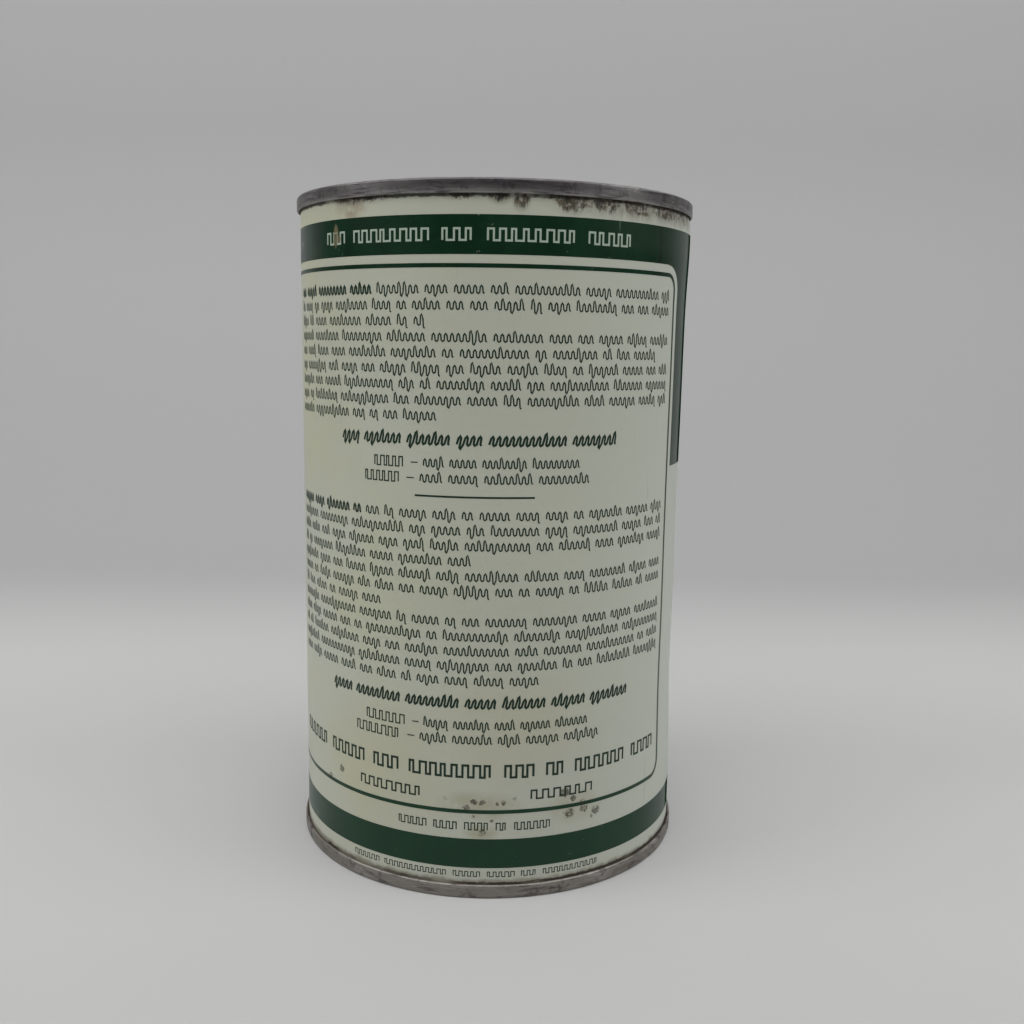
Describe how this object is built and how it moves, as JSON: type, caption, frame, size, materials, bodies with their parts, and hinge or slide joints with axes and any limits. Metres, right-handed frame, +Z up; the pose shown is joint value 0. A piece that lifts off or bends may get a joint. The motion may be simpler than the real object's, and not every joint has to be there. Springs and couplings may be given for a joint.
{
  "type": "motor oil can",
  "caption": "Round lithographed tinplate quart can for motor oil, with a soldered lock side seam and double-seamed ends.",
  "frame": {"origin": "centre of the plane of the bottom rim, which the can stands on", "axes": "+Z up along the can's axis; -Y faces the side printed with the copy; the side seam is on the -X side, a little towards +Y"},
  "size_m": [0.1032, 0.1032, 0.1683],
  "materials": {
    "litho_tinplate": "satin",
    "ink_green": "satin",
    "bare_tinplate": "satin",
    "solder": "satin",
    "compound": "matte",
    "oil": "gloss"
  },
  "bodies": {
    "root": {"can_body": "litho_tinplate", "side_seam_solder": "solder", "top_end": "bare_tinplate", "bottom_end": "bare_tinplate", "top_seam_compound": "compound", "bottom_seam_compound": "compound", "oil_fill": "oil"}
  },
  "joints": []
}
